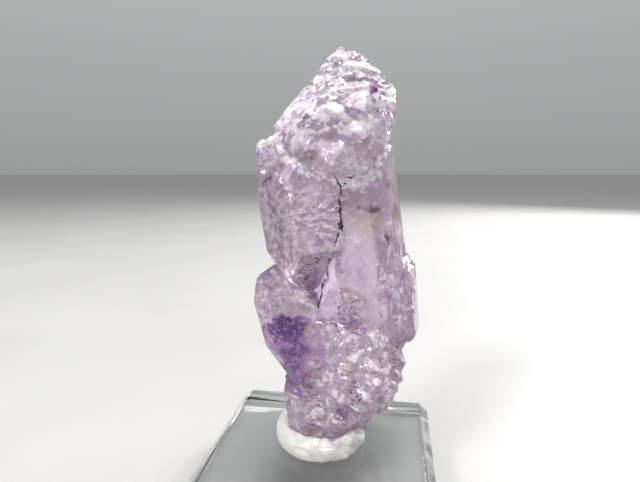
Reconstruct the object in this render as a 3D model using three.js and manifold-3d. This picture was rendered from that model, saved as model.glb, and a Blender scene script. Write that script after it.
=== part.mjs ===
// An amethyst specimen on its display block: grown-together quartz crystals with a rough sceptre head,
// held upright by a pat of white mounting putty on a clear bevelled block.
// Millimetres, +Z up. The origin is the centre of the block's underside.
import * as THREE from "three";
import { ConvexGeometry } from "three/addons/geometries/ConvexGeometry.js";
import { MeshSurfaceSampler } from "three/addons/math/MeshSurfaceSampler.js";
import { mergeVertices } from "three/addons/utils/BufferGeometryUtils.js";
import Module from "manifold-3d";

// The display block
const BLOCK_SIDE = 33;
const BLOCK_HEIGHT = 8;
const BLOCK_BEVEL = 1.5;
const BLOCK_CORNER = 0.9;
const BLOCK_EDGE = 0.25;

// The putty pat: its plan is a little wider than deep
const PUTTY_WIDE = 6.75;
const PUTTY_DEEP = 6.1;
const PUTTY_HEIGHT = 3.1;

// The specimen stands a little behind the block's centre, turned to the left
const FOOT_X = -0.2;
const FOOT_Y = 1.8;
const SPECIMEN_TURN = 9.5;

// Quartz: the angle of a rhombohedral face's normal above the prism faces' plane, and the direction
// that the larger crystals share
const RHOMB_ELEVATION = 38.2;
const FACES_ROUND = 6;
const FULL_TURN = 360;
const LEAN = [8.5, 0];
const SPIN = 12;

// The gaps kept between the crystal's foot and the putty pressed round it, and under the putty
const GAP = 0.3;
const PUTTY_LIFT = 0.05;
const SMALLEST_FEATURE = 0.1;

const wasm = await Module();
wasm.setup();
const { Manifold } = wasm;
const rad = THREE.MathUtils.degToRad;

// A repeatable stream of numbers from 0 to 1
function numberStream(seed) {
  let state = seed;
  return () => {
    state = (Math.imul(state, 1664525) + 1013904223) >>> 0;
    return state / 2 ** 32;
  };
}

function between(random, low, high) {
  return low + (high - low) * random();
}

// Geometry to solid and back
function toSolid(geometry) {
  const bare = new THREE.BufferGeometry().setAttribute("position", geometry.getAttribute("position"));
  if (geometry.index) bare.setIndex(geometry.index);
  const merged = mergeVertices(bare, 1e-4);
  return new Manifold(
    new wasm.Mesh({
      numProp: 3,
      vertProperties: new Float32Array(merged.attributes.position.array),
      triVerts: new Uint32Array(merged.index.array),
    }),
  );
}

function toGeometry(solid) {
  const { vertProperties, triVerts } = solid.getMesh();
  const geometry = new THREE.BufferGeometry()
    .setAttribute("position", new THREE.BufferAttribute(new Float32Array(vertProperties), 3))
    .setIndex(new THREE.BufferAttribute(new Uint32Array(triVerts), 1));
  const faceted = geometry.toNonIndexed();
  faceted.computeVertexNormals();
  return faceted;
}

// A direction by compass: azimuth 0 faces the viewer (-Y) and 90 faces right (+X)
function facing(azimuth, elevation) {
  const flat = Math.cos(rad(elevation));
  return new THREE.Vector3(
    Math.sin(rad(azimuth)) * flat,
    -Math.cos(rad(azimuth)) * flat,
    Math.sin(rad(elevation)),
  );
}

// The corners of the convex solid behind all of the planes
function cornersOf(planes) {
  const corners = [];
  const slack = 1e-6;
  for (let i = 0; i < planes.length; i++)
    for (let j = i + 1; j < planes.length; j++)
      for (let k = j + 1; k < planes.length; k++) {
        const [a, b, c] = [planes[i], planes[j], planes[k]];
        const bc = b.normal.clone().cross(c.normal);
        const det = a.normal.dot(bc);
        if (Math.abs(det) < slack) continue;
        const point = bc
          .multiplyScalar(a.distance)
          .addScaledVector(c.normal.clone().cross(a.normal), b.distance)
          .addScaledVector(a.normal.clone().cross(b.normal), c.distance)
          .divideScalar(det);
        if (planes.every((p) => p.normal.dot(point) <= p.distance + slack)) corners.push(point);
      }
  return corners;
}

// A convex stone as a solid: faces is a list of [azimuth, elevation, distance from the centre], and
// swell moves them all out
function solidOf({ at, faces, lean = [0, 0] }, swell = 0) {
  const planes = faces.map(([azimuth, elevation, distance]) => ({
    normal: facing(azimuth, elevation),
    distance: distance + swell,
  }));
  const geometry = new ConvexGeometry(cornersOf(planes));
  const [left, forward] = lean;
  geometry.applyMatrix4(
    new THREE.Matrix4()
      .makeRotationFromEuler(new THREE.Euler(rad(forward), -rad(left), 0, "XYZ"))
      .setPosition(...at),
  );
  return toSolid(geometry);
}

// Several stones grown together as one solid
function joined(stones, swell = 0) {
  return Manifold.union(stones.map((stone) => solidOf(stone, swell)));
}

// A quartz crystal: six prism faces at their distances from the axis, and a rhombohedral face above and
// below each, given by the height at which it meets the axis. The faces run round from azimuth spin.
function quartz({ at, lean, spin, sides, above, below }) {
  const faces = [];
  for (let k = 0; k < FACES_ROUND; k++) {
    const azimuth = spin + (k * FULL_TURN) / FACES_ROUND;
    const reach = Math.sin(rad(RHOMB_ELEVATION));
    faces.push([azimuth, 0, sides[k]]);
    faces.push([azimuth, RHOMB_ELEVATION, above[k] * reach]);
    faces.push([azimuth, -RHOMB_ELEVATION, below[k] * reach]);
  }
  return { at, faces, lean };
}

// The crystals and masses that the specimen is made of, from the head down
const head = {
  at: [2.2, -0.5, 47],
  faces: [
    [-8, 31, 6.8],
    [-50, 38, 5.3],
    [-95, 40, 5.5],
    [-150, 38, 6.2],
    [165, 35, 6.8],
    [92, 49, 8.1],
    [48, 42, 7.4],
    [130, 45, 7.5],
    [-5, 0, 7.6],
    [-52, -6, 7.8],
    [-100, 0, 7.9],
    [88, 4, 7.7],
    [45, 0, 8],
    [135, 0, 7.8],
    [180, 0, 7.3],
    [10, -45, 10.3],
    [-50, -50, 9.5],
    [90, -28, 6.9],
    [45, -42, 8.9],
    [180, -45, 8.6],
    [0, -90, 7.3],
    [0, 90, 8.4],
  ],
};
const shoulder = {
  at: [-5.8, -0.8, 41.6],
  faces: [
    [-90, 0, 2.3],
    [-80, 38, 2.5],
    [-30, 30, 2.8],
    [-20, -10, 3.2],
    [-110, -30, 2.9],
    [180, 20, 3.2],
    [-140, 20, 2.8],
    [80, 0, 4],
    [0, 90, 2.8],
    [0, -70, 3.5],
    [180, -40, 3.5],
  ],
};
const main = quartz({
  at: [4.5, 1, 26],
  lean: [9, 0],
  spin: SPIN,
  sides: [5.7, 7.5, 7.5, 7, 6.5, 6],
  above: [26, 26, 26, 26, 26, 26],
  below: [18, 18, 18, 18, 18, 18],
});
const upperLeft = quartz({
  at: [-3.2, -2.5, 33],
  lean: LEAN,
  spin: SPIN,
  sides: [4.4, 6.5, 5, 5, 4.8, 2.8],
  above: [13, 15, 15, 14, 11, 9.6],
  below: [9.5, 12.2, 11, 11, 9.4, 10.4],
});
const upperBack = quartz({
  at: [-0.8, 3.6, 31],
  lean: LEAN,
  spin: SPIN,
  sides: [5, 5, 4.4, 4.6, 4.8, 4.6],
  above: [13, 13, 13, 12, 11, 12],
  below: [13, 13, 12, 11, 10, 12],
});
const lowerLeft = quartz({
  at: [-4.2, -2.2, 20.5],
  lean: [-9, 0],
  spin: 10,
  sides: [4.6, 6.9, 5, 5, 5.4, 3.4],
  above: [2.9, 8.6, 9, 10, 10.6, 10],
  below: [13.6, 13.1, 12, 12, 6.4, 8.8],
});
const right = quartz({
  at: [9.2, 1.5, 22.5],
  lean: [5.5, 0],
  spin: SPIN,
  sides: [5, 4.7, 4.5, 4.4, 5, 4],
  above: [10, 9.4, 11, 11, 13, 11],
  below: [11, 11.8, 12.5, 9, 9, 9],
});
const hump = quartz({
  at: [3.4, -4.1, 21.6],
  lean: LEAN,
  spin: SPIN,
  sides: [2.6, 3.2, 3, 3, 3, 2.7],
  above: [4.7, 4.9, 5, 5, 4.7, 4.5],
  below: [4.3, 4.7, 5, 5, 4.5, 4.1],
});
const lowerMass = {
  at: [4.5, 0.5, 12.5],
  faces: [
    [0, 6, 5.8],
    [-38, 0, 6.6],
    [42, 10, 6.6],
    [88, 12, 6.8],
    [85, -20, 6.7],
    [60, -62, 7.5],
    [5, -30, 7],
    [-30, -45, 8],
    [-80, 0, 6.9],
    [-80, -35, 7.5],
    [140, 0, 7.2],
    [180, 0, 6.8],
    [-140, 0, 7.2],
    [180, -45, 8],
    [0, -90, 9.2],
    [0, 60, 8.6],
    [90, 60, 9],
    [180, 60, 8.6],
    [-90, 60, 9],
  ],
};
const lowerBack = quartz({
  at: [3.4, 4.4, 15],
  lean: [-16, -8],
  spin: 40,
  sides: [4, 4.6, 4.2, 3.4, 2.6, 4.2],
  above: [10, 9, 8, 9, 10, 10],
  below: [9, 9, 8, 9, 8, 10],
});
const foot = {
  at: [-0.2, 0.2, 4.4],
  faces: [
    [-90, -4, 4.5],
    [-40, -8, 5.1],
    [0, -6, 5],
    [45, -22, 5.4],
    [90, -34, 6.2],
    [135, -12, 5.8],
    [180, -8, 5.4],
    [-135, -6, 5.4],
    [0, -90, 3.6],
    [-60, -50, 5],
    [30, -60, 4.8],
    [0, 90, 5],
  ],
};
const bodies = [
  head,
  shoulder,
  main,
  upperLeft,
  upperBack,
  lowerLeft,
  right,
  hump,
  lowerMass,
  lowerBack,
  foot,
];

// Growth steps and broken lumps cover the rough zones: small stones sunk into the surface so that they
// rise only a little above it. "steps" keep the crystals' own face directions, as parallel growth does,
// and "lumps" turn any way, as broken quartz does. A zone is the surface of some bodies inside an
// ellipsoid, from its centre and reach.
const ROUGH_ZONES = [
  {
    kind: "steps",
    on: [head],
    centre: [2.4, -1, 52],
    reach: [9, 9, 5],
    count: 22,
    size: [1.8, 3.4],
    rise: [0.05, 0.25],
  },
  {
    kind: "steps",
    on: [head],
    centre: [2, -1, 45],
    reach: [11, 10, 5],
    count: 26,
    size: [2, 3.8],
    rise: [0.1, 0.3],
  },
  {
    kind: "steps",
    on: [head],
    centre: [1.5, -7, 46],
    reach: [9, 6, 9],
    count: 22,
    size: [1.6, 3],
    rise: [0.1, 0.35],
  },
  {
    kind: "lumps",
    on: [head],
    centre: [1, -3, 41],
    reach: [9, 8, 3.5],
    count: 16,
    size: [1.3, 2.2],
    rise: [0.2, 0.5],
  },
  {
    kind: "lumps",
    on: [shoulder],
    centre: [-6.5, -1, 42],
    reach: [4, 4, 4],
    count: 8,
    size: [1.1, 1.8],
    rise: [0.2, 0.5],
  },
  {
    kind: "lumps",
    on: [lowerMass],
    centre: [5, -7, 12],
    reach: [8, 6, 8],
    count: 28,
    size: [1.4, 2.8],
    rise: [0.3, 0.8],
  },
  {
    kind: "lumps",
    on: [lowerMass, foot],
    centre: [5.5, -2, 10],
    reach: [8, 9, 7],
    count: 28,
    size: [1.5, 3],
    rise: [0.3, 0.8],
  },
  {
    kind: "steps",
    on: [right],
    centre: [10.5, 0, 23],
    reach: [3.5, 6, 7],
    count: 10,
    size: [1, 2],
    rise: [0.15, 0.5],
  },
  {
    kind: "lumps",
    on: [lowerMass, lowerBack, foot],
    centre: [3, 6, 9],
    reach: [6.5, 6, 8],
    count: 14,
    size: [1.6, 3],
    rise: [0.3, 0.8],
  },
];

function step(at, size, random) {
  const side = () => size * between(random, 0.7, 1);
  const height = () => side() / Math.sin(rad(RHOMB_ELEVATION));
  const round = (value) => Array.from({ length: FACES_ROUND }, value);
  const block = quartz({
    at,
    lean: [LEAN[0] + between(random, -5, 5), between(random, -5, 5)],
    spin: SPIN + between(random, -5, 5),
    sides: round(side),
    above: round(height),
    below: round(height),
  });
  block.faces.push([0, 90, size], [0, -90, size]);
  return block;
}

const LUMP_RINGS = [
  [-70, 2],
  [-25, 4],
  [20, 5],
  [65, 2],
];

function lump(at, size, random) {
  const faces = [];
  for (const [elevation, count] of LUMP_RINGS)
    for (let k = 0; k < count; k++)
      faces.push([
        (FULL_TURN * (k + between(random, -0.25, 0.25))) / count,
        elevation + between(random, -12, 12),
        size * between(random, 0.75, 1),
      ]);
  return { at, faces, lean: [between(random, -90, 90), between(random, -90, 90)] };
}

function roughStones({ kind, on, centre, reach, count, size, rise }, seed) {
  const random = numberStream(seed);
  const host = joined(on);
  const sampler = new MeshSurfaceSampler(new THREE.Mesh(toGeometry(host)));
  sampler.setRandomGenerator(random).build();
  const middle = new THREE.Vector3(...centre);
  const radii = new THREE.Vector3(...reach);
  const point = new THREE.Vector3();
  const normal = new THREE.Vector3();
  const stones = [];
  while (stones.length < count) {
    sampler.sample(point, normal);
    if (point.clone().sub(middle).divide(radii).length() > 1) continue;
    const across = between(random, ...size);
    const sunk = across - between(random, ...rise);
    const at = point.clone().addScaledVector(normal, -sunk).toArray();
    stones.push(kind === "steps" ? step(at, across, random) : lump(at, across, random));
  }
  return stones;
}

const SEED = 40;
const stones = ROUGH_ZONES.flatMap((zone, index) => roughStones(zone, SEED + index));
const grown = joined([...bodies, ...stones]).simplify(SMALLEST_FEATURE);

// The outer surface alone: pockets closed in between the stones are filled
const [crystal] = grown.decompose().sort((a, b) => b.volume() - a.volume());

// The putty: a soft pat with a rolled lip, thicker at the left, with folds swirling in at the right.
// Its section runs from the underside's centre out, up over the lip and back in to the top's centre.
const PUTTY_SECTION = [
  [0, 0],
  [0.9, 0],
  [0.97, 0.1],
  [1, 0.28],
  [1.0, 0.52],
  [0.96, 0.78],
  [0.89, 0.94],
  [0.8, 1],
  [0.7, 0.97],
  [0.58, 0.9],
  [0.4, 0.85],
  [0, 0.82],
];
const PUTTY_SIDES = 60;

// Waves round the pat: [depth, times round, turned by], and for folds how far they run on over the lip
// with the height and with the distance out
const LOBES = [
  [0.03, 2, 0.6],
  [0.022, 3, 2],
];
const FOLDS = [
  [1, 7, 0, 5, 4],
  [0.6, 13, 1, -4, 0],
];
const FOLD_OUT = 0.018;
const FOLD_UP = 0.05;
const SWIRL_AZIMUTH = 60;
const LEFT_THICKER = 0.07;

function waves(list, turn, up = 0, out = 0) {
  return list.reduce(
    (sum, [depth, times, start, perUp = 0, perOut = 0]) =>
      sum + depth * Math.sin(times * turn + start + perUp * up + perOut * out),
    0,
  );
}

function puttyPoint(azimuth, [out, up]) {
  const turn = rad(azimuth);
  const rim = THREE.MathUtils.smoothstep(out, 0.5, 0.95);
  const swirl = THREE.MathUtils.smoothstep(Math.cos(turn - rad(SWIRL_AZIMUTH)), -0.2, 0.7);
  const fold = swirl * waves(FOLDS, turn, up, out);
  const reach = out * (1 + waves(LOBES, turn) + FOLD_OUT * rim * fold);
  const thick = 1 - LEFT_THICKER * Math.sin(turn) + FOLD_UP * fold * Math.min(1, 2 * up);
  return [
    Math.sin(turn) * PUTTY_WIDE * reach,
    -Math.cos(turn) * PUTTY_DEEP * reach,
    up * PUTTY_HEIGHT * thick,
  ];
}

function puttyPat() {
  const corners = [];
  const triangles = [];
  const rings = PUTTY_SECTION.slice(1, -1);
  const ends = [0, 1 + rings.length * PUTTY_SIDES];
  corners.push(...puttyPoint(0, PUTTY_SECTION[0]));
  for (const place of rings)
    for (let k = 0; k < PUTTY_SIDES; k++) corners.push(...puttyPoint((k * FULL_TURN) / PUTTY_SIDES, place));
  corners.push(0, 0, PUTTY_HEIGHT * PUTTY_SECTION.at(-1)[1]);
  for (let k = 0; k < PUTTY_SIDES; k++) {
    const next = (k + 1) % PUTTY_SIDES;
    const last = 1 + (rings.length - 1) * PUTTY_SIDES;
    triangles.push(ends[0], 1 + next, 1 + k);
    triangles.push(ends[1], last + k, last + next);
    for (let ring = 0; ring < rings.length - 1; ring++) {
      const low = 1 + ring * PUTTY_SIDES;
      const high = low + PUTTY_SIDES;
      triangles.push(low + k, low + next, high + next);
      triangles.push(low + k, high + next, high + k);
    }
  }
  const geometry = new THREE.BufferGeometry();
  geometry.setAttribute("position", new THREE.Float32BufferAttribute(corners, 3));
  geometry.setIndex(triangles);
  return toSolid(geometry);
}

// The crystal's foot has pressed its own shape into the pat
const ROUND_THE_FOOT = 8;
const pressed = [lowerMass, ...[foot, ...stones].filter(({ at }) => at[2] < ROUND_THE_FOOT)];
const putty = puttyPat().subtract(joined(pressed, GAP)).simplify(SMALLEST_FEATURE);

// The block: a square slab with its corners and all its edges bevelled
function blockGeometry() {
  const planes = [];
  const half = BLOCK_HEIGHT / 2;
  const slope = Math.SQRT1_2;
  for (let k = 0; k < 4; k++) {
    const side = k * 90;
    const corner = side + 45;
    const toSide = BLOCK_SIDE / 2;
    const toCorner = (BLOCK_SIDE - BLOCK_CORNER) * slope;
    planes.push([side, 0, toSide], [corner, 0, toCorner]);
    planes.push([side, 45, (toSide + half - BLOCK_BEVEL) * slope]);
    planes.push([corner, 45, (toCorner + half - BLOCK_BEVEL) * slope]);
    planes.push([side, -45, (toSide + half - BLOCK_EDGE) * slope]);
  }
  planes.push([0, 90, half], [0, -90, half]);
  return toGeometry(solidOf({ at: [0, 0, half], faces: planes }));
}

function named(name, geometry, color, roughness, extra = {}) {
  const material = new THREE.MeshStandardMaterial({ color, roughness, metalness: 0, ...extra });
  const mesh = new THREE.Mesh(geometry, material);
  mesh.name = name;
  return mesh;
}

const specimen = new THREE.Group();
specimen.position.set(FOOT_X, FOOT_Y, BLOCK_HEIGHT);
specimen.rotation.z = rad(SPECIMEN_TURN);
specimen.add(named("amethyst_crystal", toGeometry(crystal), 0xbfa8c8, 0.25));
const pat = named("mounting_putty", toGeometry(putty), 0xeeece6, 0.7);
pat.position.z = PUTTY_LIFT;
specimen.add(pat);

const part = new THREE.Group();
part.add(named("acrylic_base", blockGeometry(), 0xe8ecec, 0.05, { transparent: true, opacity: 0.35 }));
part.add(specimen);

export default part;
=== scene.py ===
"""An amethyst specimen on its display block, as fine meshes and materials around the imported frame.

Places on the specimen are in millimetres in its own frame: x to the right, y away from the viewer and z up
from the middle of the putty's underside, on the block's top. Meshes are in metres in the row's frame.
"""
import itertools
import math

import bmesh
import bpy
import numpy as np
from mathutils import Matrix, Vector
from mathutils.bvhtree import BVHTree


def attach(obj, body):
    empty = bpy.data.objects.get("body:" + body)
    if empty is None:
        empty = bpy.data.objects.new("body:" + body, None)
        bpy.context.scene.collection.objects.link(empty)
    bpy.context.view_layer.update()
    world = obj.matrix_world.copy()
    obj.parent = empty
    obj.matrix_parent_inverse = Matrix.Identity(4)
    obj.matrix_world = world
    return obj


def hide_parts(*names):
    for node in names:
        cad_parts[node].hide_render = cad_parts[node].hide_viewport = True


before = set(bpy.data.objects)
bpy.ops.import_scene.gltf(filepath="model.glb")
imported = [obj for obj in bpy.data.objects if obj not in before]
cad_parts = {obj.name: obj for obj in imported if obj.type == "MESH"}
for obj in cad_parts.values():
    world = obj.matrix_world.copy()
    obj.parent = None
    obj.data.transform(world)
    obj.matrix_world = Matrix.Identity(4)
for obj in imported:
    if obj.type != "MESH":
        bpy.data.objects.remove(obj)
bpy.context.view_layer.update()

MM = 0.001

# The specimen's place on the block
BLOCK_TOP = 8.0
FOOT = (-0.2, 1.8)
TURN = math.radians(9.5)

# The photo's camera, in the specimen's frame
IMAGE_WIDTH = 640
FOCAL_PIXELS = 450
SENSOR_WIDTH = 36
CAMERA_BACK = 62.9
CAMERA_UP = 39.7
CAMERA_DOWN = math.radians(8.6)

# Fineness of the crystal's mesh: the longest edge on smooth surfaces, on rough ones and along fine lines
SMOOTH_EDGE = 0.8
ROUGH_EDGE = 0.35
LINE_EDGE = 0.14
CRYSTAL_WELD = 0.002
REFINING_ROUNDS = 8

# How far a line keeps the mesh fine, how fast edges grow beyond, and how far back the marks refine it
LINE_REACH = 0.15
LINE_FADE = 0.9
HILLOCKS_BACK = 2
LINES_BACK = 3

# The angle from which the crystal's edges are sharp
SHARP_ANGLE = math.radians(20)

SPECIMEN = (
    Matrix.Translation(Vector((FOOT[0], FOOT[1], BLOCK_TOP)) * MM)
    @ Matrix.Rotation(TURN, 4, "Z")
    @ Matrix.Scale(MM, 4)
)

# Marks on the specimen's front keep their place as a viewer sees them, so they are compared on one
# upright plane, along the lines of sight
FRONT_PLANE = -5.0


# Fields over the crystal's surface: numbers for each point, from places on the specimen
def smoothstep(value, low, high):
    t = np.clip((value - low) / (high - low), 0, 1)
    return t * t * (3 - 2 * t)


def inside(points, centre, reach, soft):
    """1 well inside an ellipsoid and 0 outside it, with a soft edge."""
    away = np.linalg.norm((points - centre) / reach, axis=1)
    return 1 - smoothstep(away, 1 - soft, 1 + soft)


def blobs(points, places, soft=0.35):
    """The strongest of several ellipsoids, each a centre, a reach and a strength that may be left out."""
    field = np.zeros(len(points))
    for centre, reach, *strength in places:
        field = np.maximum(field, (strength or [1])[0] * inside(points, centre, reach, soft))
    return field


def on_front(points):
    """The points moved along the lines of sight onto the front plane."""
    points = np.atleast_2d(np.asarray(points, dtype=float))
    share = (CAMERA_BACK + FRONT_PLANE) / (CAMERA_BACK + points[:, 1])
    height = CAMERA_UP + (points[:, 2] - CAMERA_UP) * share
    return np.stack([points[:, 0] * share, np.full(len(points), FRONT_PLANE), height], axis=1)


def front_marks(seen, places, soft):
    """The strongest of several marks on the front: each a centre, a reach across and up, and a strength."""
    moved = []
    for centre, (across, up), strength in places:
        moved.append((on_front(centre)[0], (across, 1, up), strength))
    return blobs(seen, moved, soft)


def line_distance(seen, lines):
    """The distance on the front plane to the nearest of several lines."""
    nearest = np.full(len(seen), np.inf)
    for corners in lines:
        corners = on_front(corners)
        for start, end in zip(corners[:-1], corners[1:]):
            along = end - start
            t = np.clip((seen - start) @ along / (along @ along), 0, 1)
            away = seen - start - t[:, None] * along
            nearest = np.minimum(nearest, np.linalg.norm(away, axis=1))
    return nearest


def ripple(points, size, seed, waves=9):
    """A smooth random field between about -1 and 1, whose blobs are about half of size across."""
    random = np.random.default_rng(seed)
    field = np.zeros(len(points))
    for _ in range(waves):
        direction = random.normal(size=3)
        direction *= 2 * math.pi / (size * random.uniform(0.7, 1.5) * np.linalg.norm(direction))
        field += np.sin(points @ direction + random.uniform(0, 2 * math.pi))
    return field / math.sqrt(waves)


def cells(points, spacing, seed):
    """Random cells in space: for each point its two nearest cells, as distances, places and numbers."""
    random = np.random.default_rng(seed)
    place = (points - points.min(axis=0)) / spacing + 2
    shape = np.ceil(place.max(axis=0)).astype(int) + 3
    centres = np.indices(shape).transpose(1, 2, 3, 0) + random.random((*shape, 3))
    numbers = random.normal(size=(*shape, 4))
    home = np.floor(place).astype(int)
    near = np.full((2, len(points)), np.inf)
    offset = np.zeros((2, len(points), 3))
    value = np.zeros((2, len(points), 4))
    for step in itertools.product((-1, 0, 1), repeat=3):
        cell = tuple((home + step).T)
        away = place - centres[cell]
        distance = np.linalg.norm(away, axis=1)
        nearest = distance < near[0]
        second = (distance < near[1]) & ~nearest
        for kept, new in ((near, distance), (offset, away), (value, numbers[cell])):
            kept[1, nearest] = kept[0, nearest]
            kept[0, nearest] = new[nearest]
            kept[1, second] = new[second]
    return near * spacing, offset * spacing, value


# A facet's own rise, as a share of its spacing, and the width of the ledges between facets
FACET_RISE = 0.25
LEDGE = 0.25


def facets(points, spacing, tilt, seed):
    """The height of a surface broken into flat tilted facets with short ledges between them."""
    near, offset, value = cells(points, spacing, seed)
    height = (offset * value[:, :, :3]).sum(axis=2) * tilt
    height += value[:, :, 3] * FACET_RISE * tilt * spacing
    share = 0.5 + 0.5 * np.clip((near[1] - near[0]) / LEDGE, 0, 1)
    return share * height[0] + (1 - share) * height[1]


# The crystal's zones in space: a centre and how far each reaches
HEAD = [((2.2, -0.5, 48.5), (10.5, 10, 9.5))]
SHOULDER = [((-6.8, -1, 42.8), (3.4, 4, 3.0))]
FRACTURED = [
    ((6.2, -3, 12.0), (8.5, 9, 7.2)),
    ((1.2, 3, 9.0), (8.5, 8, 6.5)),
    ((4.5, -6, 17.0), (4.5, 3.5, 3.0)),
]
FOOT_ZONE = [((-1.0, -3, 6.0), (5.5, 6, 3.6))]
RIBBED = [((10.5, -1, 24.0), (3.4, 7, 7.0))]

# Marks on the front: centre, reach across and up, and strength
HILLOCKS = [
    ((-0.9, -6.6, 35.2), (3.6, 5.4), 1.0),
    ((-7.4, -3.4, 23.2), (2.6, 3.8), 0.9),
    ((-4.6, -3.4, 22.4), (2.6, 2.4), 0.5),
    ((3.0, -5.0, 21.4), (3.6, 3.4), 0.45),
    ((-5.4, -4.4, 40.6), (3.0, 1.6), 0.6),
    ((1.6, -5.0, 20.0), (1.8, 1.3), 0.9),
]
MAUVE = [
    ((-2.2, -5.0, 38.3), (3.4, 0.8), 0.45),
    ((-5.9, -4.4, 35.2), (2.3, 5.4), 1.0),
    ((-4.8, -4.4, 29.6), (3.0, 3.6), 0.95),
    ((-3.2, -3.9, 21.4), (1.3, 1.5), 0.8),
    ((-6.0, -5.0, 23.6), (3.4, 3.2), 0.78),
    ((-2.7, -5.0, 41.4), (2.2, 0.8), 0.8),
    ((-4.3, -5.0, 43.2), (0.9, 1.1), 0.7),
    ((0.2, -5.0, 40.5), (2.0, 0.6), 0.7),
    ((3.4, -5.0, 48.9), (1.6, 0.5), 0.6),
    ((3.8, -5.0, 50.3), (2.2, 0.4), 0.5),
    ((1.5, -5.0, 43.6), (1.4, 0.8), 0.4),
    ((7.0, -5.0, 41.6), (1.0, 1.0), 0.4),
    ((-1.2, -4.6, 29.0), (2.4, 1.2), 0.5),
]
# Paler marks: partly the quartz's own paler patches, partly painted light: painted highlights on two facets
# of the foot and painted light on the foot's shaded lower part
PALE_AND_PAINTED_LIGHT = [
    ((4.9, -5.0, 39.8), (4.2, 2.2), 0.9),
    ((-0.9, -6.6, 36.4), (3.0, 4.4), 0.35),
    # Painted highlight on a facet of the foot
    ((1.6, -5.0, 5.8), (0.9, 0.8), 1.4),
    # Painted light on the foot's shaded lower part, under the overhang
    ((-3.0, -5.0, 5.6), (2.6, 2.4), 0.4),
    # Painted highlight on a facet of the foot
    ((0.1, -5.0, 6.8), (1.3, 1.0), 1.2),
    ((-3.2, -5.0, 19.6), (0.9, 0.7), 0.8),
]
VIOLET = [
    ((-5.5, -5.3, 19.0), (1.9, 1.4), 1.35),
    ((-2.8, -5.6, 19.4), (1.5, 1.5), 1.35),
    ((-3.8, -5.6, 17.4), (3.2, 2.2), 0.85),
    ((-3.8, -6.4, 14.8), (3.0, 4.6), 0.74),
    ((-2.4, -5.0, 15.6), (2.6, 3.6), 0.7),
    ((-7.4, -3.4, 20.6), (0.9, 2.0), 0.5),
    ((-6.6, -3.4, 24.6), (0.8, 1.4), 0.45),
    ((-0.9, -3.6, 25.4), (1.7, 2.8), 0.5),
    ((-3.6, -3.6, 24.6), (1.2, 1.0), 0.5),
    ((4.6, -4.8, 26.6), (2.6, 1.5), 0.42),
    ((2.8, -4.8, 25.4), (1.5, 2.0), 0.4),
    ((0.4, -6.6, 31.2), (1.8, 1.3), 0.46),
    ((-5.6, -4.4, 38.2), (1.6, 1.2), 0.35),
    ((6.8, -6.8, 49.9), (1.0, 0.8), 0.8),
    ((6.2, -6.8, 48.6), (0.7, 0.9), 0.5),
    ((3.7, -9.0, 46.6), (1.0, 0.8), 0.5),
    ((4.2, -7.0, 37.2), (1.2, 0.6), 0.3),
    ((3.0, -6.6, 21.0), (2.3, 1.4), 0.44),
    ((8.1, -4.2, 22.8), (1.0, 1.4), 0.3),
    ((3.0, -5.0, 6.9), (1.3, 0.8), 0.66),
    ((-0.9, -5.6, 5.4), (1.0, 0.4), 0.7),
    ((-3.6, -5.0, 40.0), (1.4, 0.8), 0.4),
    ((-7.9, -4.0, 41.6), (0.9, 1.4), 0.4),
    ((6.0, -5.0, 29.0), (2.4, 2.0), 0.28),
    ((1.6, -5.0, 23.4), (1.2, 2.0), 0.35),
]
YELLOW = [
    ((6.6, -4.1, 33.4), (2.4, 1.5), 1.0),
    ((3.9, -5.5, 13.6), (0.7, 1.0), 1.0),
    ((-1.4, -3.0, 17.6), (0.5, 1.4), 0.35),
    ((1.4, -8.0, 49.4), (1.6, 0.8), 0.25),
]
BROWN = [
    ((-1.4, -8.0, 41.7), (1.5, 0.8), 0.7),
    ((4.8, -9.0, 43.1), (1.1, 0.6), 0.6),
    ((-3.3, -3.9, 21.4), (0.9, 1.2), 0.5),
]
SPECKS = [
    ((-0.7, -5.0, 28.5), (1.6, 1.5), 0.8),
    ((-2.0, -4.6, 26.6), (1.2, 2.0), 0.6),
    ((2.7, -5.4, 32.6), (0.6, 1.6), 1.0),
    ((3.2, -6.8, 21.6), (1.8, 1.3), 0.5),
    ((-4.2, -5.4, 19.3), (2.6, 1.2), 0.6),
    ((4.6, -6.0, 10.2), (1.0, 1.8), 1.0),
    ((2.8, -5.6, 7.2), (0.8, 0.6), 0.8),
    ((-6.4, -4.4, 30.0), (1.4, 1.4), 0.5),
    ((-0.6, -5.6, 5.6), (0.9, 0.3), 1.0),
]
INCLUSIONS = [((2.7, -5.0, 33.3), (0.5, 1.5), 1.0), ((3.2, -5.0, 38.6), (0.5, 0.35), 0.8)]

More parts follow.
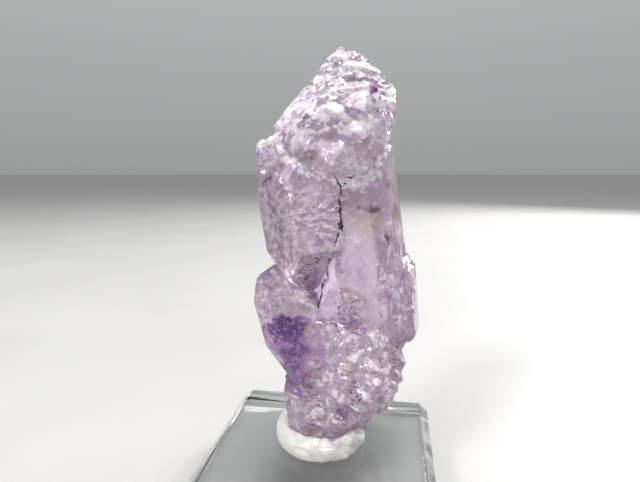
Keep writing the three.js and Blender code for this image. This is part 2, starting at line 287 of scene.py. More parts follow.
# Lines on the front
CRACK = [
    (2.2, -5.0, 39.4),
    (2.5, -5.0, 37.4),
    (2.7, -5.0, 34.6),
    (2.5, -5.0, 32.0),
    (1.8, -5.0, 29.6),
    (1.0, -5.0, 27.4),
    (0.3, -5.0, 24.6),
    (-0.2, -5.0, 21.8),
]
STAINS = [
    [(4.8, -5.0, 35.2), (6.6, -5.0, 34.9), (7.7, -5.0, 35.1)],
    [(8.6, -5.0, 38.2), (9.2, -5.0, 37.8)],
    [(9.4, -5.0, 35.8), (9.9, -5.0, 34.2), (9.9, -5.0, 32.9)],
    [(8.6, -5.0, 31.4), (8.7, -5.0, 31.0)],
    [(-2.0, -5.0, 26.6), (-1.6, -5.0, 23.4)],
]
STREAKS = [[(2.6, -5.0, 25.0), (4.2, -5.0, 23.8), (5.7, -5.0, 22.2)]]
RIM = [
    [
        (-5.5, -5.0, 43.1),
        (-4.3, -5.0, 41.4),
        (-2.7, -5.0, 40.3),
        (-1.1, -5.0, 39.6),
        (0.3, -5.0, 39.2),
        (2.0, -5.0, 38.5),
    ],
    [(2.6, -5.0, 38.2), (4.9, -5.0, 38.0), (5.8, -5.0, 38.3), (7.4, -5.0, 39.6)],
    [(7.4, -5.0, 40.6), (8.6, -5.0, 42.6), (9.3, -5.0, 45.2)],
]
LOWER_LEFT_EDGE = ((1.1, -5.0, 15.4), (-3.7, -5.0, 10.5))
RIDGES = [
    [(-7.0, -4.0, 27.2), (-4.6, -4.0, 25.2), (-2.6, -4.0, 22.8), (-1.0, -4.0, 21.8)],
    [(-5.8, -4.5, 39.8), (-4.4, -5.5, 38.2), (-3.4, -6.9, 36.4)],
]

# Each kind of mark that fades into its surroundings, with how softly it does
MARKS = {
    "mauve": (MAUVE, 0.5),
    # The pale marks hold painted light and painted highlights as well as paler quartz
    "pale": (PALE_AND_PAINTED_LIGHT, 0.6),
    "violet": (VIOLET, 0.8),
    "yellow": (YELLOW, 0.7),
    "brown": (BROWN, 0.7),
    "specks": (SPECKS, 0.6),
    "inclusions": (INCLUSIONS, 0.5),
}
HILLOCK_SOFTNESS = 0.6

# Raised and sunken lines: how far from their middle they fade out and are full
RIDGE_HEIGHT = 0.08
RIDGE_SPREAD = (0.35, 0.05)
RIM_HEIGHT = 0.16
RIM_SPREAD = (0.7, 0.1)
CRACK_DEPTH = 0.1
CRACK_SPREAD = (0.22, 0.05)

# The growth steps near the head's peak, which fade in between two heights
STEP_HEIGHT = 1.5
STEP_DEPTH = 0.5
STEPS_START = (47.5, 50)

# The relief in all: how far it may go in and out, and how far the whole head is drawn in for it
RELIEF_LIMITS = (-0.6, 0.32)
HEAD_SINK = 0.05

# Easing of the rough zones' first shapes
EASING_SHARE = 0.5
EASING_ROUNDS = 14


def to_specimen(points):
    """Points in the row's frame, in metres, as places on the specimen."""
    matrix = np.array(SPECIMEN.inverted())
    return points @ matrix[:3, :3].T + matrix[:3, 3]


def refined(mesh, longest):
    """The mesh with its long edges halved until each is under longest(its middle)."""
    bm = bmesh.new()
    bm.from_mesh(mesh)
    bmesh.ops.remove_doubles(bm, verts=bm.verts[:], dist=CRYSTAL_WELD * MM)
    bmesh.ops.triangulate(bm, faces=bm.faces[:])
    for _ in range(REFINING_ROUNDS):
        edges = bm.edges[:]
        ends = np.array([(*e.verts[0].co, *e.verts[1].co) for e in edges])
        start = to_specimen(ends[:, :3])
        end = to_specimen(ends[:, 3:])
        length = np.linalg.norm(end - start, axis=1)
        long = np.flatnonzero(length > longest((start + end) / 2))
        if not len(long):
            break
        bmesh.ops.subdivide_edges(bm, edges=[edges[i] for i in long], cuts=1)
        bmesh.ops.triangulate(bm, faces=[f for f in bm.faces if len(f.verts) > 3])
    result = bpy.data.meshes.new(mesh.name + "_fine")
    bm.to_mesh(result)
    bm.free()
    return result


def specimen_points(mesh):
    flat = np.empty(len(mesh.vertices) * 3, dtype=np.float32)
    mesh.vertices.foreach_get("co", flat)
    return to_specimen(flat.reshape(-1, 3).astype(float))


def store_points(mesh, points):
    matrix = np.array(SPECIMEN)
    flat = points @ matrix[:3, :3].T + matrix[:3, 3]
    mesh.vertices.foreach_set("co", flat.astype(np.float32).ravel())
    mesh.update()


def store_field(mesh, name, values):
    field = mesh.attributes.new(name, "FLOAT", "POINT")
    field.data.foreach_set("value", values.astype(np.float32))


def eased(mesh, points, share, rounds):
    """The points with each drawn toward the middle of its neighbours, by its own share."""
    ends = np.empty(len(mesh.edges) * 2, dtype=np.int64)
    mesh.edges.foreach_get("vertices", ends)
    start, end = ends.reshape(-1, 2).T
    count = np.bincount(ends, minlength=len(points))[:, None]
    for _ in range(rounds):
        total = np.zeros_like(points)
        for axis in range(3):
            total[:, axis] += np.bincount(start, points[end, axis], len(points))
            total[:, axis] += np.bincount(end, points[start, axis], len(points))
        points = points + share[:, None] * (total / count - points)
    return points


def normals_of(mesh):
    flat = np.empty(len(mesh.vertices) * 3, dtype=np.float32)
    mesh.vertices.foreach_get("normal", flat)
    return flat.reshape(-1, 3) @ np.array(SPECIMEN.to_3x3().normalized())


def above_rim(seen):
    """1 over the head's lower rim and 0 under it."""
    rim = on_front([corner for line in RIM for corner in line])
    return smoothstep(seen[:, 2] - np.interp(seen[:, 0], rim[:, 0], rim[:, 2]), -0.5, 0.3)


def beyond(seen, edge):
    """1 on the left of an edge that runs down to the left, and 0 on its right."""
    start, end = on_front(edge)
    across = np.array([start[2] - end[2], 0, end[0] - start[0]])
    return 1 - smoothstep((seen - start) @ across / np.linalg.norm(across), -0.3, 0.3)


def shifts(points, size, seeds):
    """Random shifts across and up, by which the marks wander from their plain shapes."""
    across, up = (ripple(points, size, seed) for seed in seeds)
    return np.stack([across, np.zeros(len(points)), up], axis=1)


def longest_edge(points):
    """How long the crystal's edges may be: short where it is rough and along the fine lines."""
    seen = on_front(points)
    rough = np.maximum(blobs(points, HEAD + SHOULDER + FRACTURED), 0.9 * blobs(points, RIBBED + FOOT_ZONE))
    hillocks = np.minimum(1, front_marks(seen, HILLOCKS, HILLOCK_SOFTNESS))
    rough = np.maximum(rough, hillocks * (points[:, 1] < HILLOCKS_BACK))
    edge = SMOOTH_EDGE + (ROUGH_EDGE - SMOOTH_EDGE) * rough
    away = line_distance(seen, [CRACK] + STAINS + RIDGES)
    along_lines = LINE_EDGE + np.maximum(0, away - LINE_REACH) * LINE_FADE
    return np.where(points[:, 1] < LINES_BACK, np.minimum(edge, along_lines), edge)


class Zones:
    """Each zone's share at each point of the crystal, and the points as they are seen from the front."""

    def __init__(self, mesh):
        points = specimen_points(mesh)
        self.seen = on_front(points)
        sight = points - (0, -CAMERA_BACK, CAMERA_UP)
        facing = -(normals_of(mesh) * sight).sum(axis=1) / np.linalg.norm(sight, axis=1)
        self.front = smoothstep(facing, 0, 0.2)
        self.head = blobs(points, HEAD) * above_rim(self.seen)
        self.shoulder = blobs(points, SHOULDER)
        self.fractured = blobs(points, FRACTURED) * (1 - self.front * beyond(self.seen, LOWER_LEFT_EDGE))
        self.ribbed = blobs(points, RIBBED)
        self.foot = blobs(points, FOOT_ZONE)
        self.hillocks = front_marks(self.seen, HILLOCKS, HILLOCK_SOFTNESS) * self.front
        self.wander = shifts(points, size=2.2, seeds=(11, 12))
        self.fray = shifts(points, size=0.9, seeds=(13, 14))
        self.to_crack = line_distance(self.seen + 0.16 * self.wander, [CRACK])
        self.to_ridges = line_distance(self.seen, RIDGES)


def relief(points, normals, zones):
    """How far the fine relief raises each point, in mm."""
    height = (0.65 * zones.head + zones.shoulder) * facets(points, spacing=2.1, tilt=0.2, seed=1)
    height += (0.45 * zones.head + zones.shoulder) * facets(points, spacing=1.0, tilt=0.12, seed=2)
    broken = zones.fractured + 0.6 * zones.shoulder + 0.4 * zones.foot
    height += broken * facets(points, spacing=1.9, tilt=0.2, seed=3)
    height += zones.fractured * facets(points, spacing=1.0, tilt=0.07, seed=4)
    height += zones.foot * facets(points, spacing=2.4, tilt=0.2, seed=7)
    height += zones.ribbed * facets(points * (1, 1, 0.3), spacing=0.75, tilt=0.28, seed=5)

    low = points * (1, 1, 1.5)
    hillocks = 0.08 * ripple(low, size=1.4, seed=8) + facets(low, spacing=0.75, tilt=0.16, seed=6)
    height += zones.hillocks * hillocks

    rise = (points[:, 2] + 0.3 * ripple(points, size=6, seed=9)) / STEP_HEIGHT
    terrace = (0.5 - rise % 1) * smoothstep(points[:, 2], *STEPS_START)
    terrace *= smoothstep(-normals[:, 1], 0, 0.5)
    height += STEP_DEPTH * zones.head * terrace

    height += RIDGE_HEIGHT * zones.front * smoothstep(zones.to_ridges, *RIDGE_SPREAD)
    height += RIM_HEIGHT * zones.front * smoothstep(line_distance(zones.seen, RIM), *RIM_SPREAD)
    height -= CRACK_DEPTH * zones.front * smoothstep(zones.to_crack, *CRACK_SPREAD)
    return height - HEAD_SINK * zones.head


def store_marks(mesh, zones):
    """Where the material's colours and textures lie, as a number for each point."""
    seen, wander, fray = zones.seen, zones.wander, zones.fray
    loose = seen + 0.45 * wander + 0.25 * fray
    broken = np.maximum(zones.fractured, 0.6 * zones.ribbed)
    store_field(mesh, "head", np.maximum(zones.head, zones.shoulder))
    store_field(mesh, "fractured", np.maximum(broken, 0.5 * zones.foot))
    store_field(mesh, "hillocks", zones.hillocks)
    for name, (places, soft) in MARKS.items():
        store_field(mesh, name, zones.front * front_marks(loose, places, soft))
    lines = {
        "streak": smoothstep(line_distance(loose, STREAKS), 0.5, 0.1),
        "stain": smoothstep(line_distance(seen + 0.2 * wander + 0.1 * fray, STAINS), 0.6, 0.1),
        "crack": smoothstep(zones.to_crack, 0.45, 0.0),
        # Where the ridges and the head's rim are whitened: partly wear, partly painted highlight
        "edges": smoothstep(zones.to_ridges, 0.4, 0.05),
        "rim": smoothstep(line_distance(seen + 0.2 * fray, RIM), 0.75, 0.15),
    }
    for name, share in lines.items():
        store_field(mesh, name, zones.front * share)


def crystal_mesh():
    mesh = refined(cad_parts["amethyst_crystal"].data, longest_edge)
    zones = Zones(mesh)
    softened = np.maximum(np.maximum(zones.head, zones.shoulder), 0.6 * zones.fractured)
    points = eased(mesh, specimen_points(mesh), EASING_SHARE * softened, EASING_ROUNDS)
    store_points(mesh, points)

    normals = normals_of(mesh)
    height = np.clip(relief(points, normals, zones), *RELIEF_LIMITS)
    peak = points[:, 2].max()
    points = points + normals * height[:, None]
    points[:, 2] = np.minimum(points[:, 2], peak)
    store_points(mesh, points)

    store_marks(mesh, zones)
    mesh.shade_smooth()
    mesh.set_sharp_from_angle(angle=SHARP_ANGLE)
    return mesh


class Nodes:
    """Short ways to add nodes to a material."""

    def __init__(self, name):
        self.material = bpy.data.materials.new(name)
        self.material.use_nodes = True
        self.tree = self.material.node_tree
        self.tree.nodes.clear()
        self.output = self.tree.nodes.new("ShaderNodeOutputMaterial")
        self.place = self.add("ShaderNodeTexCoord").outputs["Object"]

    def add(self, kind, inputs=None, **settings):
        node = self.tree.nodes.new(kind)
        for key, value in settings.items():
            setattr(node, key, value)
        for key, value in (inputs or {}).items():
            self.feed(node.inputs[key], value)
        return node

    def feed(self, socket, value):
        if isinstance(value, bpy.types.NodeSocket):
            self.tree.links.new(value, socket)
        elif isinstance(value, tuple) and len(value) == 3 and socket.type == "RGBA":
            socket.default_value = (*value, 1)
        else:
            socket.default_value = value

    def field(self, name):
        return self.add("ShaderNodeAttribute", attribute_name=name).outputs["Fac"]

    def math(self, operation, a, b, clamp=False):
        return self.add("ShaderNodeMath", {0: a, 1: b}, operation=operation, use_clamp=clamp).outputs[0]

    def plus(self, a, b):
        return self.math("ADD", a, b)

    def minus(self, a, b, clamp=False):
        return self.math("SUBTRACT", a, b, clamp)

    def times(self, a, b):
        return self.math("MULTIPLY", a, b)

    def most(self, first, *others):
        """The greatest of several values."""
        for other in others:
            first = self.math("MAXIMUM", first, other)
        return first

    def blend(self, *shares):
        """The sum of several values, each times its share."""
        parts = [self.times(value, share) for value, share in shares]
        total = parts[0]
        for part in parts[1:]:
            total = self.plus(total, part)
        return total

    def ramp(self, value, low, high, start=0.0, end=1.0):
        """Goes smoothly from start, where the value is low, to end, where it is high."""
        names = {"Value": value, "From Min": low, "From Max": high, "To Min": start, "To Max": end}
        return self.add("ShaderNodeMapRange", names, interpolation_type="SMOOTHSTEP").outputs["Result"]

    def mix(self, share, a, b):
        """Colour a turned into colour b by a share."""
        node = self.add("ShaderNodeMix", {"Factor": share}, data_type="RGBA")
        first, second = (socket for socket in node.inputs if socket.type == "RGBA")
        self.feed(first, a)
        self.feed(second, b)
        return next(socket for socket in node.outputs if socket.type == "RGBA")

    def vector(self, operation, a, b, output=0):
        return self.add("ShaderNodeVectorMath", {0: a, 1: b}, operation=operation).outputs[output]

    def scaled(self, size, stretch=(1, 1, 1), lean=0.0):
        """The place in units of size mm, shrunk along each axis by stretch, and leaning by degrees."""
        place = self.place
        if lean:
            values = {"Vector": place, "Angle": math.radians(lean)}
            place = self.add("ShaderNodeVectorRotate", values, rotation_type="Y_AXIS").outputs[0]
        return self.vector("MULTIPLY", place, tuple(share / (size * MM) for share in stretch))

    def noise(self, size, detail=3.0, roughness=0.5, distortion=0.0, stretch=(1, 1, 1), lean=0.0):
        """Noise whose blobs are about size mm across."""
        values = {
            "Vector": self.scaled(size, stretch, lean),
            "Scale": 1.0,
            "Detail": detail,
            "Roughness": roughness,
            "Distortion": distortion,
        }
        return self.add("ShaderNodeTexNoise", values).outputs[0]

    def cells(self, place, **settings):
        return self.add("ShaderNodeTexVoronoi", {"Vector": place, "Scale": 1.0}, **settings).outputs

    def cracks(self, size, thin, warp):
        """Thin bent lines round cells of about size mm."""
        place = self.scaled(size)
        values = {"Vector": place, "Scale": 1.6, "Detail": 2.0}
        bend = self.add("ShaderNodeTexNoise", values).outputs["Color"]
        place = self.vector("ADD", place, self.vector("MULTIPLY", bend, (warp, warp, warp)))
        edge = self.cells(place, feature="DISTANCE_TO_EDGE")["Distance"]
        return self.ramp(edge, thin, 0.0)

    def dots(self, size, radius):
        """Small round dots, one to a cell of about size mm."""
        return self.ramp(self.cells(self.scaled(size))["Distance"], radius, radius * 0.6)

    def plates(self, size, stretch=(1, 1, 1)):
        """Flat plates of about size mm, each tilted its own way: their height, and a number for each."""
        place = self.scaled(size, stretch)
        cell = self.cells(place)
        tilt = self.vector("SUBTRACT", cell["Color"], (0.5, 0.5, 0.5))
        away = self.vector("SUBTRACT", place, cell["Position"])
        tone = self.add("ShaderNodeSeparateXYZ", {"Vector": cell["Color"]}).outputs["X"]
        return self.vector("DOT_PRODUCT", tilt, away, "Value"), tone

    def bump(self, height, depth, normal=None):
        """A bump whose height of 1 stands for depth mm."""
        node = self.add("ShaderNodeBump", {"Height": height, "Distance": depth * MM, "Strength": 1.0})
        if normal is not None:
            self.feed(node.inputs["Normal"], normal)
        return node.outputs[0]

    def surface(self, **inputs):
        named = {key.replace("_", " "): value for key, value in inputs.items()}
        shader = self.add("ShaderNodeBsdfPrincipled", named)
        self.tree.links.new(shader.outputs[0], self.output.inputs["Surface"])

    def volume(self, color, density):
        shader = self.add("ShaderNodeVolumeAbsorption", {"Color": color, "Density": density})
        self.tree.links.new(shader.outputs[0], self.output.inputs["Volume"])


# The colours of the quartz and of what lies in it and on it
LILAC = (0.57, 0.44, 0.56)
PALE_LILAC = (0.75, 0.63, 0.74)
DUSTY_MAUVE = (0.10, 0.062, 0.085)
MILKY_LILAC = (0.78, 0.70, 0.78)
BRIGHT_WHITE = (0.97, 0.94, 0.96)
VIOLET_CLOUD = (0.25, 0.10, 0.31)
DEEP_VIOLET = (0.06, 0.018, 0.11)
IRON_YELLOW = (0.76, 0.68, 0.44)
IRON_BROWN = (0.11, 0.065, 0.04)
DARK_MINERAL = (0.03, 0.02, 0.02)

QUARTZ_IOR = 1.544
QUARTZ_ABSORPTION = (0.87, 0.79, 0.89)
QUARTZ_DENSITY = 50.0


class Quartz(Nodes):
    """The patterns that the quartz's colour, clearness and relief share, and the shares of its colours."""

    def __init__(self):
        super().__init__("quartz")
        self.head = self.field("head")
        self.fractured = self.field("fractured")
        self.hillocks = self.field("hillocks")
        self.rough = self.most(self.head, self.fractured)
        self.wisp = self.noise(1.7, detail=5, roughness=0.68, distortion=0.25)
        self.fine = self.noise(0.8, detail=4, roughness=0.6)
        self.grain = self.noise(0.22, detail=2)
        self.ripples = self.noise(0.75, detail=1.5, roughness=0.4, stretch=(1, 1, 1.5))
        self.broad_plates, broad_tone = self.plates(1.4, stretch=(0.85, 0.85, 1.3))
        self.small_plates, small_tone = self.plates(0.6)
        self.tone = self.blend((broad_tone, 0.6), (small_tone, 0.4))
        self.mauve = self.times(self.field("mauve"), self.ramp(self.fine, 0.3, 0.6, 1, 0.6))

    # Whitened ridges and head rim: partly worn white quartz, partly painted highlight
    def worn_edges_and_painted_highlights(self):
        ridges = self.times(self.field("edges"), self.ramp(self.fine, 0.42, 0.6, 0, 0.6))
        rim = self.times(self.field("rim"), self.ramp(self.fine, 0.4, 0.58, 0.35, 1))
        return self.most(ridges, rim)

    def strokes(self):
        """Thin white lines, long and slanting ones among them."""
        curved = self.times(self.cracks(1.6, thin=0.07, warp=0.1), self.ramp(self.fine, 0.46, 0.54, 0, 0.9))
        slanting = self.noise(1.5, detail=3, roughness=0.6, stretch=(0.3, 0.3, 2.4), lean=48)
        return self.most(curved, self.ramp(slanting, 0.56, 0.66))

    def whiteness(self):
        """How milky the quartz is, from veils and dust all over to the snowy head, with painted highlights
        on the hillocks' crests, painted glints among the broken zone's chips and painted light in the pale
        marks.
        """
        dust = self.times(self.ramp(self.fine, 0.48, 0.62, 0, 0.35), self.ramp(self.rough, 0, 1, 1, 0.2))
        veils = self.plus(self.ramp(self.wisp, 0.46, 0.7, 0, 0.45), dust)
        # The pale marks, with the painted light and painted highlights on the foot
        pale = self.times(self.field("pale"), self.ramp(self.fine, 0.35, 0.6, 0.4, 1))
        # White chips in the broken zone: partly the white of broken quartz, partly painted glints
        white_chips_and_painted_glints = self.blend((self.wisp, 0.5), (self.tone, 0.5))
        white_chips_and_painted_glints = self.times(self.ramp(white_chips_and_painted_glints, 0.47, 0.64, 0.0, 0.8), self.fractured)
        # White on the hillocks' crests: painted highlights
        painted_crest_highlights = self.times(self.ramp(self.ripples, 0.5, 0.66, 0, 0.5), self.hillocks)
        bars = self.noise(4, detail=4, roughness=0.55, stretch=(0.6, 0.6, 2.6))
        snow = self.blend((self.wisp, 0.4), (bars, 0.4), (self.tone, 0.2))
        snow = self.times(self.ramp(snow, 0.42, 0.52, 0.15, 1), self.ramp(self.mauve, 0, 1, 1, 0.1))
        snow = self.times(self.head, snow)
        lined = self.most(self.head, self.ramp(self.fractured, 0, 1, 0.14, 0.35))
        white = self.most(veils, pale, white_chips_and_painted_glints, painted_crest_highlights, snow, self.times(self.strokes(), lined))
        return self.times(white, self.ramp(self.mauve, 0, 1, 1, 0.25))

    def violetness(self):
        """The violet marks and faint clouds, broken up by the finer patterns."""
        patch = self.times(self.minus(self.wisp, 0.5), 1.3)
        patch = self.plus(patch, self.times(self.minus(self.fine, 0.5), 0.8))
        clouds = self.ramp(self.noise(3.6, detail=2), 0.5, 0.7, 0, 0.38)
        clouds = self.times(clouds, self.ramp(self.mauve, 0, 1, 1, 0.3))
        zone = self.most(self.field("violet"), clouds)
        patch = self.times(patch, self.ramp(zone, 0.05, 0.4))
        return self.ramp(self.plus(zone, patch), 0.08, 1.0)

    def deep(self, violet):
        """The darkest violet, with a frost of fine grains on it."""
        frost = self.ramp(self.noise(0.45, detail=2), 0.5, 0.62)
        frost = self.times(frost, self.ramp(self.fine, 0.42, 0.54, 0.1, 0.6))
        return self.minus(self.ramp(violet, 0.5, 1, 0, 0.95), frost, clamp=True)

    def yellow(self):
        marks = self.most(self.field("yellow"), self.times(self.field("streak"), 0.8))
        return self.times(marks, self.ramp(self.fine, 0.38, 0.55, 0.3, 1))

    def brown(self):
        marks = self.most(self.field("brown"), self.field("stain"))
        return self.times(marks, self.ramp(self.fine, 0.42, 0.54, 0, 1))

    def dark(self):
        """The black of the open crack, the inclusions beside it and the specks."""
        specks = self.times(self.dots(0.45, 0.5), self.ramp(self.fine, 0.42, 0.52))
        specks = self.times(specks, self.ramp(self.field("specks"), 0.1, 0.6))
        line = self.minus(self.field("crack"), self.times(self.fine, 1.5))
        blots = self.minus(self.field("inclusions"), self.times(self.fine, 0.9))
        return self.most(self.ramp(blots, 0, 0.15), self.ramp(line, 0.05, 0.25), specks)

    def normal(self):
        normal = self.bump(self.times(self.broad_plates, self.rough), 0.55)
        normal = self.bump(self.times(self.small_plates, self.rough), 0.2, normal)
        normal = self.bump(self.times(self.ripples, self.hillocks), 0.3, normal)
        normal = self.bump(self.fine, 0.07, normal)
        return self.bump(self.grain, 0.008, normal)


def quartz():
    n = Quartz()
    # The ridges and the head's rim whitened: partly wear, partly painted highlight
    edges = n.worn_edges_and_painted_highlights()
    white = n.most(n.whiteness(), edges)
    violet = n.violetness()
    dark = n.dark()

    color = n.mix(n.ramp(n.noise(7, detail=3), 0.35, 0.65), LILAC, PALE_LILAC)
    color = n.mix(n.mauve, color, DUSTY_MAUVE)
    milk = n.mix(n.ramp(n.tone, 0.3, 0.65), MILKY_LILAC, BRIGHT_WHITE)
    color = n.mix(white, color, milk)
    color = n.mix(edges, color, BRIGHT_WHITE)
    color = n.mix(n.ramp(violet, 0, 0.6, 0, 0.85), color, VIOLET_CLOUD)
    color = n.mix(n.deep(violet), color, DEEP_VIOLET)
    color = n.mix(n.yellow(), color, IRON_YELLOW)
    color = n.mix(n.brown(), color, IRON_BROWN)
    color = n.mix(dark, color, DARK_MINERAL)

    clear = n.times(n.ramp(white, 0, 1, 0.85, 0.45), n.ramp(dark, 0, 1, 1, 0))
    clear = n.times(clear, n.ramp(n.most(violet, n.mauve), 0, 1, 1, 0.25))
    roughness = n.ramp(n.grain, 0.3, 0.7, 0.04, 0.12)
    roughness = n.plus(roughness, n.times(white, 0.04))
    roughness = n.plus(roughness, n.times(n.mauve, 0.2))
    n.surface(
        Base_Color=color,
        Roughness=roughness,
        IOR=QUARTZ_IOR,
        Transmission_Weight=clear,
        Normal=n.normal(),
    )
    n.volume(QUARTZ_ABSORPTION, QUARTZ_DENSITY)
    return n.material


# The putty: its size, the floor inside its lip and how many corners go round it
PUTTY_WIDE = 6.75
PUTTY_DEEP = 6.1
PUTTY_HEIGHT = 3.1
PUTTY_FLOOR = 0.45
PUTTY_ROUND = 240

# Its outside, from near the underside's middle out and up to the lip, as shares of its reach and height
PUTTY_OUTSIDE = (
    (0.55, 0),
    (0.9, 0),
    (0.955, 0.05),
    (0.985, 0.14),
    (1, 0.28),
    (1.0, 0.42),
    (0.995, 0.55),
    (0.98, 0.68),
    (0.955, 0.79),
    (0.92, 0.88),
    (0.885, 0.94),
    (0.85, 0.98),
    (0.81, 1.0),
)

# Its inside, down from the lip along the foot, as shares of the height above the floor
PUTTY_INSIDE = (0.96, 0.9, 0.7, 0.45, 0.2, 0)
LIP_SHARE = 0.78

# The search for the crystal's foot, which goes inward from a distance and never under a height
SEARCH_START = 12
SEARCH_LOWEST = 1.3
NO_FOOT_RADIUS = 1.0
FOOT_OVERLAP = 0.12

PUTTY_SHADE = (0.66, 0.65, 0.62)
PUTTY_WHITE = (0.76, 0.75, 0.72)


def foot_radius(foot, turn, height):
    """How far the crystal reaches from the pat's middle, at a turn and a height."""
    direction = Vector((math.sin(turn), -math.cos(turn), 0))
    start = SPECIMEN @ (direction * SEARCH_START + Vector((0, 0, height)))
    along = (SPECIMEN.to_3x3() @ -direction).normalized()
    spot, _, _, distance = foot.ray_cast(start, along, SEARCH_START * MM)
    return SEARCH_START - distance / MM if spot else NO_FOOT_RADIUS


def fold(turn, up, out):
    """The pat's folds and waves, strongest on its right, and one deep crease."""
    swirl = smoothstep(np.cos(turn - math.radians(60)), -0.2, 0.7)
    waves = math.sin(7 * turn + 5 * up + 4 * out) + 0.6 * math.sin(13 * turn - 4 * up + 1)
    waves += 0.7 * math.sin(24 * turn + 12 * up + 6 * out)
    crease = (turn - math.radians(20 + 50 * (1 - up))) / math.radians(5)
    return swirl * waves + 0.12 * math.sin(23 * turn + 4 * up) - 3.0 * math.exp(-(crease**2))


def slope(turn):
    """The pat's height at a turn, as a share: it is a little lower on its right."""
    return 1 - 0.07 * math.sin(turn)


def outer_place(turn, out, up):
    """A place on the pat's outside, at shares of its reach and height."""
    folds = fold(turn, up, out)
    lobes = 1 + 0.03 * math.sin(2 * turn + 0.6) + 0.022 * math.sin(3 * turn + 2)
    reach = out * (lobes + 0.02 * folds * float(smoothstep(out, 0.5, 0.95)))
    high = up * PUTTY_HEIGHT * (slope(turn) + 0.05 * folds * min(1, 2 * up))
    return math.sin(turn) * PUTTY_WIDE * reach, -math.cos(turn) * PUTTY_DEEP * reach, high


def inner_place(turn, foot, share):
    """A place inside the pat's lip, a little way into the crystal's foot."""
    high = PUTTY_FLOOR + (PUTTY_HEIGHT * slope(turn) - PUTTY_FLOOR) * share
    reach = foot_radius(foot, turn, max(high, SEARCH_LOWEST)) - FOOT_OVERLAP
    skew = math.hypot(PUTTY_DEEP * math.sin(turn), PUTTY_WIDE * math.cos(turn))
    reach = min(reach, LIP_SHARE * PUTTY_WIDE * PUTTY_DEEP / skew)
    return math.sin(turn) * reach, -math.cos(turn) * reach, high


def ring(bm, place, *where):
    """Corners round the pat's middle, each at the place for its turn."""
    turns = [2 * math.pi * k / PUTTY_ROUND for k in range(PUTTY_ROUND)]
    return [bm.verts.new(SPECIMEN @ Vector(place(turn, *where))) for turn in turns]


def putty_mesh(crystal):
    corners = [v.co.copy() for v in crystal.vertices]
    foot = BVHTree.FromPolygons(corners, [tuple(p.vertices) for p in crystal.polygons])
    bm = bmesh.new()
    rings = [ring(bm, outer_place, out, up) for out, up in PUTTY_OUTSIDE]
    rings += [ring(bm, inner_place, foot, share) for share in PUTTY_INSIDE]
    for low, high in zip(rings[:-1], rings[1:]):
        for k in range(PUTTY_ROUND):
            after = (k + 1) % PUTTY_ROUND
            bm.faces.new((low[k], low[after], high[after], high[k]))
    bm.faces.new(list(reversed(rings[0])))
    bm.faces.new(rings[-1])
    bmesh.ops.triangulate(bm, faces=[f for f in bm.faces if len(f.verts) > 4])
    bmesh.ops.recalc_face_normals(bm, faces=bm.faces[:])
    mesh = bpy.data.meshes.new("putty_fine")
    bm.to_mesh(mesh)
    bm.free()
    mesh.shade_smooth()
    return mesh


def putty_material():
    n = Nodes("putty")
    smear = n.noise(1.4, detail=5, roughness=0.6, distortion=1.2, stretch=(0.6, 0.6, 3.5))
    grain = n.noise(0.2, detail=2)
    n.surface(
        Base_Color=n.mix(n.ramp(smear, 0.35, 0.65), PUTTY_SHADE, PUTTY_WHITE),
        Roughness=n.ramp(smear, 0.3, 0.7, 0.38, 0.55),
        IOR=1.5,
        Subsurface_Weight=0.25,
        Subsurface_Scale=1.0 * MM,
        Normal=n.bump(grain, 0.015, n.bump(smear, 0.45)),
    )
    return n.material


# The block: its corners' weld, the turn under which its faces are one, and its rounded edges
BLOCK_WELD = 0.01
FLAT_ANGLE = math.radians(1)
EDGE_ROUND = 0.12
BLOCK_SHARP_ANGLE = math.radians(35)

ACRYLIC_DULL = (0.965, 0.975, 0.975)
ACRYLIC_CLEAR = (0.985, 0.99, 0.99)
ACRYLIC_IOR = 1.49
ACRYLIC_ABSORPTION = (0.86, 0.93, 0.93)
ACRYLIC_DENSITY = 8.0


def block_mesh():
    bm = bmesh.new()
    bm.from_mesh(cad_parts["acrylic_base"].data)
    bmesh.ops.remove_doubles(bm, verts=bm.verts[:], dist=BLOCK_WELD * MM)
    bmesh.ops.dissolve_limit(bm, angle_limit=FLAT_ANGLE, verts=bm.verts[:], edges=bm.edges[:])
    bmesh.ops.bevel(
        bm,
        geom=bm.edges[:] + bm.verts[:],
        offset=EDGE_ROUND * MM,
        segments=2,
        profile=0.5,
        affect="EDGES",
        clamp_overlap=True,
    )
    mesh = bpy.data.meshes.new("block_fine")
    bm.to_mesh(mesh)
    bm.free()
    mesh.shade_smooth()
    mesh.set_sharp_from_angle(angle=BLOCK_SHARP_ANGLE)
    return mesh


def acrylic():
    n = Nodes("acrylic")
    smudge = n.noise(9, detail=3)
    scratch = n.noise(0.5, detail=2, stretch=(1, 0.06, 1))
    n.surface(
        Base_Color=n.mix(n.ramp(smudge, 0.3, 0.7), ACRYLIC_DULL, ACRYLIC_CLEAR),
        Roughness=n.ramp(smudge, 0.4, 0.8, 0.01, 0.05),
        IOR=ACRYLIC_IOR,
        Transmission_Weight=1.0,
        Normal=n.bump(scratch, 0.004),
    )
    n.volume(ACRYLIC_ABSORPTION, ACRYLIC_DENSITY)
    return n.material


def piece(name, mesh, material, node):
    thing = bpy.data.objects.new(name, mesh)
    bpy.context.scene.collection.objects.link(thing)
    mesh.materials.append(material)
    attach(thing, "root")
    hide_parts(node)


crystal_fine = crystal_mesh()
piece("crystal", crystal_fine, quartz(), "amethyst_crystal")
piece("putty", putty_mesh(crystal_fine), putty_material(), "mounting_putty")
piece("block", block_mesh(), acrylic(), "acrylic_base")


# The studio, in metres but for the gap under the object
FLOOR_RADIUS = 12.0
FLOOR_ROUND = 96
FLOOR_GAP = 0.05
FLOOR_DARK = (0.36, 0.355, 0.35)
FLOOR_LIGHT = (0.38, 0.375, 0.37)

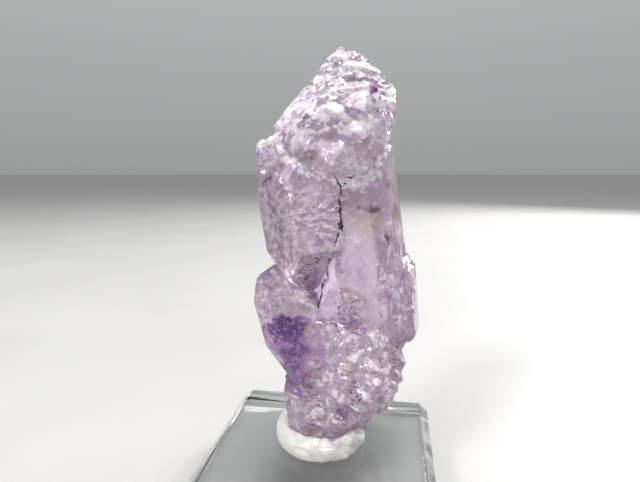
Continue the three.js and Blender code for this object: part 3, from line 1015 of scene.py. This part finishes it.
SKY_COLOR = (0.98, 0.99, 1.0, 1)
HORIZON_LIGHT = 0.33
OVERHEAD_LIGHT = 0.7

# Each light's place, width and power, and the place that all of them face
LIGHTS = {
    "key": ((-0.30, -0.42, 0.46), 0.13, 3.8),
    "top": ((0.06, -0.02, 0.60), 0.12, 2.8),
    "fill": ((0.50, -0.30, 0.25), 0.30, 0.8),
    "rim": ((0.30, 0.45, 0.30), 0.16, 3.8),
}
LIGHT_AIM = (0, 0, 0.035)

NEAREST_SEEN = 0.005
FARTHEST_SEEN = 20


def floor():
    bm = bmesh.new()
    bmesh.ops.create_circle(bm, cap_ends=True, segments=FLOOR_ROUND, radius=FLOOR_RADIUS)
    mesh = bpy.data.meshes.new("floor")
    bm.to_mesh(mesh)
    bm.free()
    disc = bpy.data.objects.new("floor", mesh)
    disc.location.z = -FLOOR_GAP * MM
    bpy.context.scene.collection.objects.link(disc)
    n = Nodes("floor")
    tone = n.ramp(n.noise(40, detail=2), 0.3, 0.7)
    n.surface(Base_Color=n.mix(tone, FLOOR_DARK, FLOOR_LIGHT), Roughness=0.6)
    mesh.materials.append(n.material)


def soft_light(name, place, width, power):
    lamp = bpy.data.lights.new(name, "AREA")
    lamp.shape = "SQUARE"
    lamp.size = width
    lamp.energy = power
    thing = bpy.data.objects.new(name, lamp)
    thing.location = place
    thing.rotation_euler = (Vector(LIGHT_AIM) - Vector(place)).to_track_quat("-Z", "Y").to_euler()
    bpy.context.scene.collection.objects.link(thing)


def sky():
    """An even light from all round that grows toward the top."""
    world = bpy.data.worlds.new("studio")
    world.use_nodes = True
    tree = world.node_tree
    place = tree.nodes.new("ShaderNodeTexCoord")
    parts = tree.nodes.new("ShaderNodeSeparateXYZ")
    tone = tree.nodes.new("ShaderNodeMapRange")
    tone.inputs["To Min"].default_value = HORIZON_LIGHT
    tone.inputs["To Max"].default_value = OVERHEAD_LIGHT
    tree.links.new(place.outputs["Generated"], parts.inputs[0])
    tree.links.new(parts.outputs["Z"], tone.inputs["Value"])
    background = tree.nodes["Background"]
    background.inputs["Color"].default_value = SKY_COLOR
    tree.links.new(tone.outputs["Result"], background.inputs["Strength"])
    bpy.context.scene.world = world


def camera():
    data = bpy.data.cameras.new("camera")
    data.sensor_width = SENSOR_WIDTH
    data.lens = SENSOR_WIDTH * FOCAL_PIXELS / IMAGE_WIDTH
    data.clip_start = NEAREST_SEEN
    data.clip_end = FARTHEST_SEEN
    thing = bpy.data.objects.new("camera", data)
    thing.location = SPECIMEN @ Vector((0, -CAMERA_BACK, CAMERA_UP))
    thing.rotation_euler = (math.pi / 2 - CAMERA_DOWN, 0, TURN)
    bpy.context.scene.collection.objects.link(thing)
    bpy.context.scene.camera = thing


floor()
for name, (place, width, power) in LIGHTS.items():
    soft_light(name, place, width, power)
sky()
camera()
bpy.context.scene.view_settings.view_transform = "Standard"
